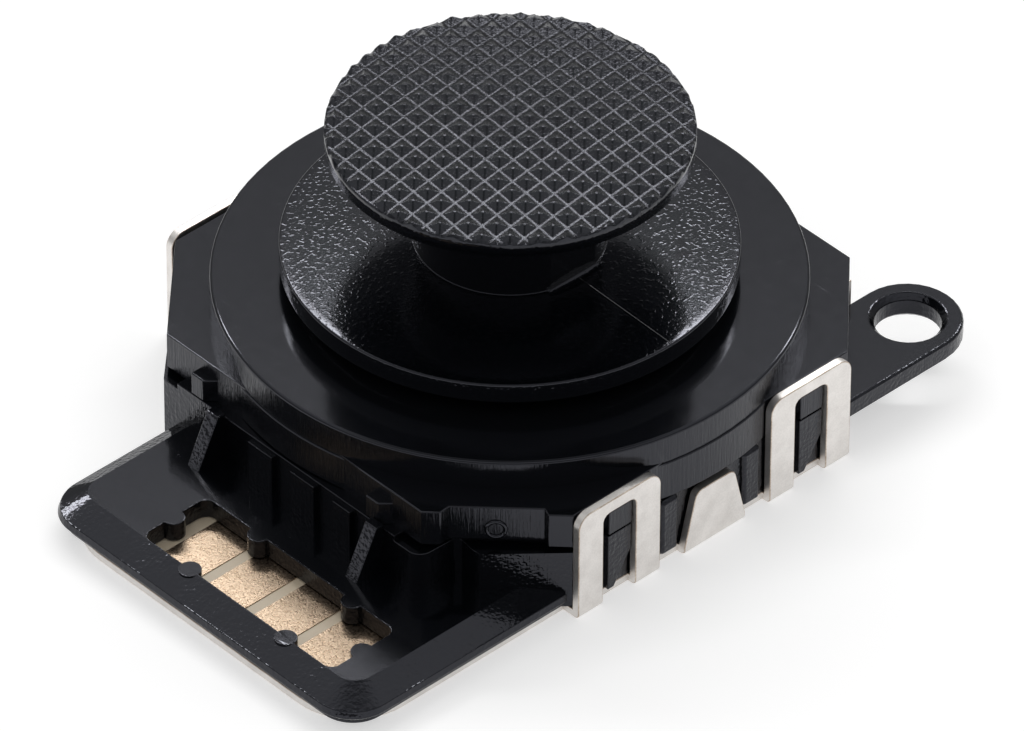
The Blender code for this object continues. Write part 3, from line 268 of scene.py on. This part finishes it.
def base_plastic():
    """The base's black plastic: a leathery skin, faint on the flats, and streaked walls."""
    t = Tree(bpy.data.materials.new("base_plastic"))
    facing = t.axes("Normal")["Z"]
    slopes = t.ramp(facing, 0.9985, 0.9950, 0.02, 0.35)
    walls = t.ramp(facing, 0.97, 0.80, 0.0, 0.5)
    clouds = t.ramp(t.noise(0.55, 3.0), 0.38, 0.60, 0.45, 1.0)
    patches = t.math("MULTIPLY", t.math("ADD", slopes, walls), clouds)
    leather = t.noise(8.0, 1.0, 0.4)
    fine = t.noise(18.0, 2.0, 0.6)
    skin = t.bump(t.math("MULTIPLY", leather, patches), 0.0320 * MM)
    skin = t.bump(wall_streaks(t), 0.014 * MM, skin)
    return t.surface(
        Base_Color=t.colours(patches, (0.0018, 0.0023, 0.0032), (0.0030, 0.0034, 0.0044)),
        Roughness=t.spread(fine, 0.09, 0.12),
        Specular_Tint=COOL_GLOSS,
        Normal=skin,
    )


def mould_line(t):
    """The thin seam along -Y on the cap's skirt."""
    place = t.axes("Object")
    beside = t.math("ABSOLUTE", t.math("SUBTRACT", place["X"], SEAM_X))
    line = t.ramp(beside, SEAM_WIDTH, 0.4 * SEAM_WIDTH)
    return t.math("MULTIPLY", line, t.math("LESS_THAN", place["Y"], -STEM_RADIUS))


def cap_plastic():
    """The cap's black plastic: smooth, with a scatter of fine raised grains."""
    t = Tree(bpy.data.materials.new("cap_plastic"))
    leather = t.ramp(t.noise(7.0, 1.0, 0.5), 0.55, 0.72)
    fine = t.noise(16.0, 2.0, 0.6)
    skin = t.bump(leather, 0.0034 * MM)
    skin = t.bump(fine, 0.0012 * MM, skin)
    skin = t.bump(mould_line(t), 0.014 * MM, skin)
    return t.surface(
        Base_Color=t.colours(leather, (0.0016, 0.0021, 0.0030), (0.0030, 0.0034, 0.0042)),
        Roughness=t.spread(fine, 0.10, 0.14),
        Specular_Tint=COOL_GLOSS,
        Normal=skin,
    )


def knurl_plastic():
    """The same plastic on the knurled top, a little matter and with a finer sparkle."""
    t = Tree(bpy.data.materials.new("knurl_plastic"))
    fine = t.noise(14.0, 3.0, 0.6)
    return t.surface(
        Base_Color=t.colours(fine, (0.0018, 0.0023, 0.0032), (0.0040, 0.0044, 0.0052)),
        Roughness=t.spread(fine, 0.08, 0.15),
        Specular_Tint=COOL_GLOSS,
        Normal=t.bump(fine, 0.0100 * MM),
    )


def satin_steel(name, dark, light):
    """Matt nickel plating with a fine speckle."""
    t = Tree(bpy.data.materials.new(name))
    speckle = t.noise(16.0, 3.0, 0.7)
    cloud = t.math("ADD", t.noise(1.5, 2.0), speckle)
    return t.surface(
        Base_Color=t.colours(t.ramp(cloud, 0.75, 1.25), dark, light),
        Metallic=1.0,
        Roughness=t.spread(speckle, 0.36, 0.50),
        Normal=t.bump(speckle, 0.003 * MM),
    )


def simple(name, first, second, metallic, roughness, scale, depth):
    """A finish that varies between two colours, with a grain of its own scale."""
    t = Tree(bpy.data.materials.new(name))
    grain = t.noise(scale, 4.0, 0.6)
    return t.surface(
        Base_Color=t.colours(t.spread(grain), first, second),
        Metallic=metallic,
        Roughness=t.spread(grain, roughness - ROUGHNESS_SPREAD, roughness + ROUGHNESS_SPREAD),
        Normal=t.bump(grain, depth * MM),
    )


# Pieces

def dress(mesh, *looks):
    """Give a mesh its materials. This sets every face back to the first of them."""
    mesh.materials.clear()
    for look in looks:
        mesh.materials.append(look)


def publish(piece, slot, body, *nodes):
    """Tie a piece to its body and hide the CAD nodes that it replaces. Its slot is not used."""
    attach(piece, body)
    if nodes:
        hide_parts(*nodes)


def link(name, data):
    """Put a mesh, lamp or camera into the scene."""
    piece = bpy.data.objects.new(name, data)
    bpy.context.scene.collection.objects.link(piece)
    return piece


def link_shape(name, shape, mesh=None):
    """Turn a finished bmesh into a piece of the scene."""
    mesh = mesh or bpy.data.meshes.new(name)
    shape.to_mesh(mesh)
    shape.free()
    return link(name, mesh)


def neighbours(count):
    """Pairs of neighbouring numbers round a ring."""
    return [(number, (number + 1) % count) for number in range(count)]


def evaluated_mesh(piece):
    """A new mesh with a piece's modifiers applied."""
    bpy.context.view_layer.update()
    graph = bpy.context.evaluated_depsgraph_get()
    return bpy.data.meshes.new_from_object(piece.evaluated_get(graph))


def cad_copy(node):
    """A copy of a CAD node's mesh in mm, with its flat faces made whole again."""
    mesh = frame["nodes"][node].data.copy()
    mesh.transform(Matrix.Scale(1 / MM, 4))
    shape = bmesh.new()
    shape.from_mesh(mesh)
    bmesh.ops.remove_doubles(shape, verts=shape.verts, dist=SAME_PLACE)
    bmesh.ops.dissolve_limit(
        shape, angle_limit=FLAT_ANGLE, verts=shape.verts, edges=shape.edges, use_dissolve_boundaries=False
    )
    return link_shape(f"{node}_shell", shape, mesh)


# Rounded edges

def mark_edges(mesh, folds, reach):
    """Mark the outer edges for rounding, apart from those that end near a fold."""
    shape = bmesh.new()
    shape.from_mesh(mesh)
    layers = shape.edges.layers.float
    marks = layers.get(EDGE_MARKS) or layers.new(EDGE_MARKS)
    for edge in shape.edges:
        turn = edge.calc_face_angle_signed(0.0)
        near_fold = any((vert.co - fold).length < reach for vert in edge.verts for fold in folds)
        edge[marks] = float(turn > ROUNDED_ANGLE and not near_fold)
    shape.to_mesh(mesh)
    shape.free()


def outline_crossings(mesh, face):
    """The corners beside which a face's outline crosses itself."""
    upright = face.normal.rotation_difference(Vector((0.0, 0.0, 1.0)))
    corners = [mesh.vertices[number].co.copy() for number in face.vertices]
    flat = [(upright @ corner).xy for corner in corners]
    crossed = []
    for one, other in combinations(neighbours(len(corners)), 2):
        ends = (*one, *other)
        apart = len(set(ends)) == len(ends)
        if apart and intersect_line_line_2d(*(flat[end] for end in ends)):
            crossed += [corners[end] for end in ends]
    return crossed


def find_folds(mesh):
    """Places where a rounding has folded a face over itself."""
    mesh.calc_loop_triangles()
    folded = set()
    for triangle in mesh.loop_triangles:
        face = mesh.polygons[triangle.polygon_index]
        if triangle.area > SMALLEST_FOLD and triangle.normal.dot(face.normal) < FOLD_COSINE:
            folded.add(face.index)
    return [corner for number in folded for corner in outline_crossings(mesh, mesh.polygons[number])]


def round_edges(piece, width):
    """Round the outer edges, and leave those sharp beside which a trial folds a face."""
    edges = piece.modifiers.new("edges", "BEVEL")
    edges.width = width
    edges.segments = ROUNDING_SEGMENTS
    edges.limit_method = "WEIGHT"
    edges.use_clamp_overlap = False
    edges.material = ROUNDING_LOOK
    folds = []
    while True:
        mark_edges(piece.data, folds, FOLD_REACH * width)
        rounded = evaluated_mesh(piece)
        found = find_folds(rounded)
        if not found:
            break
        folds += found
    piece.modifiers.clear()
    piece.data = rounded


def same_surface(first, second):
    """Whether two faces belong to one smooth surface. Upward faces keep the faint creases between them."""
    upward = min(first.normal.z, second.normal.z) > UPWARD
    return first.normal.angle(second.normal, 0.0) < (CREASE_ANGLE if upward else ROUNDED_ANGLE)


def mean_normal(faces):
    """The faces' normal on average, by area."""
    return sum((face.normal * face.area for face in faces), Vector()).normalized()


def corner_normal(face, around):
    """How a face is shaded at one corner, among the faces around it.

    Flats stay flat, arcs are smooth, and roundings lean from face to face.
    """
    flats = [other for other in around if other.material_index != ROUNDING_LOOK]
    if face.material_index != ROUNDING_LOOK:
        return mean_normal([other for other in flats if same_surface(face, other)])
    near = [other for other in flats if other.normal.dot(face.normal) > FLAT_COSINE]
    if near:
        nearest = max(near, key=lambda other: other.normal.dot(face.normal))
        return mean_normal([other for other in flats if same_surface(nearest, other)])
    strips = [other for other in around if other.material_index == ROUNDING_LOOK]
    return mean_normal([other for other in strips if other.normal.dot(face.normal) > STRIP_COSINE])


def shade(mesh):
    """Set the shading normals of a rounded mesh."""
    around = [[] for _ in mesh.vertices]
    for face in mesh.polygons:
        face.use_smooth = True
        for number in face.vertices:
            around[number].append(face)
    mesh.normals_split_custom_set([
        corner_normal(face, around[number]) for face in mesh.polygons for number in face.vertices
    ])


def rounded_copy(node, width, look, edge_look=None):
    """A copy of a CAD node with its outer edges rounded, as a mould or a press leaves them."""
    piece = cad_copy(node)
    dress(piece.data, look, edge_look or look)
    round_edges(piece, width)
    shade(piece.data)
    piece.data.transform(Matrix.Scale(MM, 4))
    return piece


# Camera, light and floor

def add_camera():
    """The photograph's camera."""
    azimuth, elevation, roll = (math.radians(a) for a in (CAMERA_AZIMUTH, CAMERA_ELEVATION, CAMERA_ROLL))
    flat = math.cos(elevation)
    back = Vector((math.sin(azimuth) * flat, -math.cos(azimuth) * flat, math.sin(elevation)))
    right = Vector((math.cos(azimuth), math.sin(azimuth), 0.0))
    up = back.cross(right)
    turned_right = math.cos(roll) * right + math.sin(roll) * up
    turned_up = math.cos(roll) * up - math.sin(roll) * right
    place = Matrix((turned_right, turned_up, back)).transposed().to_4x4()
    place.translation = CAMERA_PLACE
    camera = link("camera", bpy.data.cameras.new("camera"))
    camera.matrix_world = place
    camera.data.sensor_width = SENSOR_WIDTH
    camera.data.lens = LENS
    camera.data.clip_start = NEAREST_SEEN
    camera.data.clip_end = FARTHEST_SEEN
    bpy.context.scene.camera = camera


def add_world():
    """The studio around the part."""
    world = bpy.data.worlds.new("studio")
    bpy.context.scene.world = world
    t = Tree(world)
    studio = t.add("ShaderNodeBackground", {"Color": t.steps(t.axes("Generated")["Z"], WORLD_STEPS)})
    t.add("ShaderNodeOutputWorld", {"Surface": studio.outputs[0]})


def add_lamp():
    """The softbox."""
    turn, rise = math.radians(LAMP_AZIMUTH), math.radians(LAMP_ELEVATION)
    flat = math.cos(rise)
    place = Vector((math.cos(turn) * flat, math.sin(turn) * flat, math.sin(rise))) * LAMP_DISTANCE
    lamp = bpy.data.lights.new("back_strip", "AREA")
    lamp.shape = "RECTANGLE"
    lamp.size = LAMP_WIDTH
    lamp.size_y = LAMP_HEIGHT
    lamp.energy = LAMP_STRENGTH * LAMP_WIDTH * LAMP_HEIGHT * math.pi
    facing = place.to_track_quat("Z", "Y").to_matrix().to_4x4()
    link("back_strip", lamp).matrix_world = Matrix.Translation(place) @ facing


def floor_paint():
    """Matt white, with a glow that only the camera and reflections see."""
    look = bpy.data.materials.new("white_floor")
    t = Tree(look)
    path = t.add("ShaderNodeLightPath")
    seen = t.math("MAXIMUM", path.outputs["Is Camera Ray"], path.outputs["Is Glossy Ray"])
    seen = t.math("MAXIMUM", seen, path.outputs["Is Transmission Ray"])
    paint = t.add("ShaderNodeBsdfDiffuse", {"Color": FLOOR_PAINT})
    glow = t.add("ShaderNodeEmission", {"Strength": t.math("MULTIPLY", seen, FLOOR_GLOW)})
    both = t.add("ShaderNodeAddShader", {0: paint.outputs[0], 1: glow.outputs[0]})
    t.add("ShaderNodeOutputMaterial", {"Surface": both.outputs[0]})
    return look


def add_floor():
    """The sheet that the part lies on."""
    shape = bmesh.new()
    bmesh.ops.create_grid(shape, x_segments=1, y_segments=1, size=FLOOR_SIZE / 2)
    floor = link_shape("floor", shape)
    floor.location.z = -FLOOR_DEPTH
    dress(floor.data, floor_paint())


# Thumb cap

def join_rings(shape, outer, inner):
    """Faces between two rings of as many points."""
    for i, j in neighbours(len(outer)):
        shape.faces.new((outer[i], outer[j], inner[j], inner[i]))


def rounded_corners(corners):
    """A line through (radius, z, rounding) corners, with each of them rounded."""
    points = [Vector(corner[:2]) for corner in corners]
    line = [points[0]]
    for i in range(1, len(points) - 1):
        before, here, after = points[i - 1:i + 2]
        shorter = min((before - here).length, (after - here).length)
        reach = min(corners[i][2], shorter * CORNER_SHARE)
        start = here + (before - here).normalized() * reach
        end = here + (after - here).normalized() * reach
        for k in range(CORNER_STEPS + 1):
            t = k / CORNER_STEPS
            line.append(start * (1 - t) ** 2 + here * 2 * t * (1 - t) + end * t ** 2)
    return [*line, points[-1]]


def cap_outline():
    """Points down the cap's outside as (radius, z) in metres, a short step apart."""
    line = rounded_corners(CAP_PROFILE)
    even = []
    for start, end in zip(line, line[1:]):
        pieces = math.ceil((end - start).length / PROFILE_STEP)
        even += [start.lerp(end, k / pieces) for k in range(pieces)]
    return [(r * MM, z * MM) for r, z in [*even, line[-1]]]


def grooves_matrix():
    """From a cell's own axes, which follow the two rows of grooves, to the cap's."""
    grooves = Matrix.Identity(4)
    grooves.col[0] = (math.cos(KNURL_TURN), math.sin(KNURL_TURN), 0, 0)
    grooves.col[1] = (math.sin(KNURL_LEAN), math.cos(KNURL_LEAN), 0, 0)
    return Matrix.Translation((*KNURL_SHIFT, 0.0)) @ grooves


def pyramid_ring(size):
    """Points round a pyramid at one share of its half width, with its four corners cut."""
    cuts = RIDGE_CUTS if size < 1.0 else [GROOVE_CUT] * 4
    shares = [k / (SIDE_POINTS - 1) for k in range(SIDE_POINTS)]
    ring = []
    for number in range(4):
        start = min(cuts[number - 1], LARGEST_CUT * size) - size
        end = size - min(cuts[number], LARGEST_CUT * size)
        quarter = [(size, start + share * (end - start)) for share in shares]
        for _ in range(number):
            quarter = [(-y, x) for x, y in quarter]
        ring += quarter
    return ring


def add_pyramid(shape, middle):
    """One pyramid: a groove floor, four flat faces, four cut ridges and a small blunt tip."""
    half = KNURL_PITCH / 2

    def point(x, y, height):
        return shape.verts.new((middle[0] + x * half, middle[1] + y * half, height * KNURL_HEIGHT))

    rings = [[point(x, y, height) for x, y in pyramid_ring(size)] for size, height in KNURL_LEVELS]
    for outer, inner in zip(rings, rings[1:]):
        join_rings(shape, outer, inner)
    foot, top = rings[0], rings[-1]
    tip = point(0.0, 0.0, 1.0)
    for i, j in neighbours(len(top)):
        shape.faces.new((top[i], top[j], tip))
    for number, (x, y) in enumerate(((1, 1), (-1, 1), (-1, -1), (1, -1))):
        last = SIDE_POINTS * (number + 1) - 1
        shape.faces.new((foot[last], point(x, y, 0.0), foot[(last + 1) % len(foot)]))


def top_height(x, y):
    """Height of the cap's groove floors, which crown in the middle and roll over at the rim."""
    past = max(0.0, math.hypot(x, y) - (DISC_RADIUS - KNURL_EDGE))
    drop = KNURL_EDGE - math.sqrt(max(0.0, KNURL_EDGE ** 2 - past ** 2))
    crown = TOP_CROWN * (1.0 - (x * x + y * y) / DISC_RADIUS ** 2)
    return KNURL_VALLEY_Z + crown - CROWN_SINK - KNURL_DROP * drop


def with_outlines(faces):
    """Faces with their edges and corners, each once and in the same order on every run."""
    edges = dict.fromkeys(edge for face in faces for edge in face.edges)
    verts = dict.fromkeys(vert for face in faces for vert in face.verts)
    return [*faces, *edges, *verts]


def cut_round(shape):
    """Cut away what lies outside the cap's rim, one short straight cut after another."""
    for side in range(RIM_SIDES):
        angle = math.tau * side / RIM_SIDES
        away = Vector((math.cos(angle), math.sin(angle), 0.0))
        near = [f for f in shape.faces if max(v.co.dot(away) for v in f.verts) > DISC_RADIUS]
        bmesh.ops.bisect_plane(
            shape, geom=with_outlines(near), dist=CUT_REACH,
            plane_co=away * DISC_RADIUS, plane_no=away, clear_outer=True,
        )


def knurl_top(shape):
    """The cap's top: the pyramids, cut round. Gives its rim in order."""
    reach = math.ceil(GRID_SPARE * DISC_RADIUS / KNURL_PITCH)
    grooves = grooves_matrix()
    for row in range(-reach, reach + 1):
        for column in range(-reach, reach + 1):
            middle = (column * KNURL_PITCH, row * KNURL_PITCH)
            if (grooves @ Vector((*middle, 0.0))).xy.length < DISC_RADIUS + KNURL_PITCH:
                add_pyramid(shape, middle)
    bmesh.ops.remove_doubles(shape, verts=shape.verts, dist=GRID_WELD)
    bmesh.ops.transform(shape, matrix=grooves, verts=shape.verts)
    cut_round(shape)
    bmesh.ops.remove_doubles(shape, verts=shape.verts, dist=RIM_WELD)
    for vert in shape.verts:
        vert.co.z += top_height(vert.co.x, vert.co.y)
    rim = [v for v in shape.verts if v.is_boundary]
    return sorted(rim, key=lambda v: math.atan2(v.co.y, v.co.x))


def outline_ring(shape, angles, radius, z):
    """One ring of the cap's outside. On the stem it is cut by the two flats."""
    on_stem = STEM_FOOT_Z - STEM_SLACK < z < STEM_FLARE_Z and radius < STEM_REACH
    flat = STEM_FLAT if on_stem else radius
    ring = []
    for angle in angles:
        y = max(-flat, min(flat, radius * math.sin(angle)))
        ring.append(shape.verts.new((radius * math.cos(angle), y, z)))
    return ring


def cap_piece(knurl_look, skin_look):
    """The whole cap as one closed skin: knurled top, rim, flared stem with two flats, and skirt."""
    mesh = bpy.data.meshes.new("thumb_cap_skin")
    dress(mesh, knurl_look, skin_look)
    shape = bmesh.new()
    upper = knurl_top(shape)
    knurled = set(shape.faces)
    angles = [math.atan2(v.co.y, v.co.x) for v in upper]
    for radius, z in [(DISC_RADIUS, RIM_TOP_Z), *cap_outline()]:
        lower = outline_ring(shape, angles, radius, z)
        join_rings(shape, lower, upper)
        upper = lower
    shape.faces.new(upper[::-1])
    for face in set(shape.faces) - knurled:
        face.smooth = True
        face.material_index = SKIN_LOOK
    return link_shape("thumb_cap_skin", shape, mesh)


def ring_mark(look):
    """The small moulded ring on the front corner's wall, sunk halfway into it."""
    shape = bmesh.new()
    rows = []
    for i in range(RING_STEPS):
        turn = math.tau * i / RING_STEPS
        row = []
        for k in range(RING_SIDES):
            lean = math.tau * k / RING_SIDES
            radius = RING_RADIUS + RING_THICKNESS * math.cos(lean)
            place = (radius * math.cos(turn), radius * math.sin(turn), RING_THICKNESS * math.sin(lean))
            row.append(shape.verts.new(place))
        rows.append(row)
    for i, following in neighbours(RING_STEPS):
        for k, j in neighbours(RING_SIDES):
            corners = (rows[i][k], rows[following][k], rows[following][j], rows[i][j])
            shape.faces.new(corners).smooth = True
    piece = link_shape("ring_mark", shape)
    outward = Vector(RING_OUTWARD).to_track_quat("Z", "Y").to_matrix().to_4x4()
    piece.data.transform(Matrix.Translation(RING_PLACE) @ outward)
    dress(piece.data, look)
    return piece


def build():
    """The pieces that replace CAD nodes, and the looks of the nodes that stay."""
    cap = cap_plastic()
    steel = satin_steel("satin_steel", (0.74, 0.71, 0.68), (0.88, 0.85, 0.82))
    sheared = satin_steel("sheared_edge", (0.40, 0.31, 0.24), (0.74, 0.66, 0.58))
    base = rounded_copy("base_plate", SHEET_ROUNDING, steel, sheared)
    publish(base, "nickel_steel", "housing", "base_plate")
    case = rounded_copy("lower_case", CASE_ROUNDING, base_plastic())
    publish(case, "black_case", "housing", "lower_case")
    cover = rounded_copy("upper_case", COVER_ROUNDING, case_plastic())
    publish(cover, "black_case", "housing", "upper_case")
    publish(cap_piece(knurl_plastic(), cap), "black_cap", "stick_and_cap", "thumb_cap")
    publish(ring_mark(cap), "black_case", "housing")
    looks = {slot: simple(*finish) for slot, finish in FINISHES.items()}
    looks["black_cap"] = cap
    for subpart in frame["record"]["subparts"]:
        node = frame["nodes"][subpart["node"]]
        if not node.hide_render:
            dress(node.data, looks[subpart["material_slot"]])


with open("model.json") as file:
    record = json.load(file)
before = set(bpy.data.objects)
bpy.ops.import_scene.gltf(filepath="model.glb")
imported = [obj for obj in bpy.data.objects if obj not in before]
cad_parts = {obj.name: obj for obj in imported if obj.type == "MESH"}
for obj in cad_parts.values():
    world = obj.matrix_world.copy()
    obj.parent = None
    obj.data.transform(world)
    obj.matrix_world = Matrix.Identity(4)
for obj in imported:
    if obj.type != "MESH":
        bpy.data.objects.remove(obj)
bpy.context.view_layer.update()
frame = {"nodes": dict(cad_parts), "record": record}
bpy.context.scene.view_settings.view_transform = "Standard"
add_camera()
add_world()
add_lamp()
add_floor()
build()
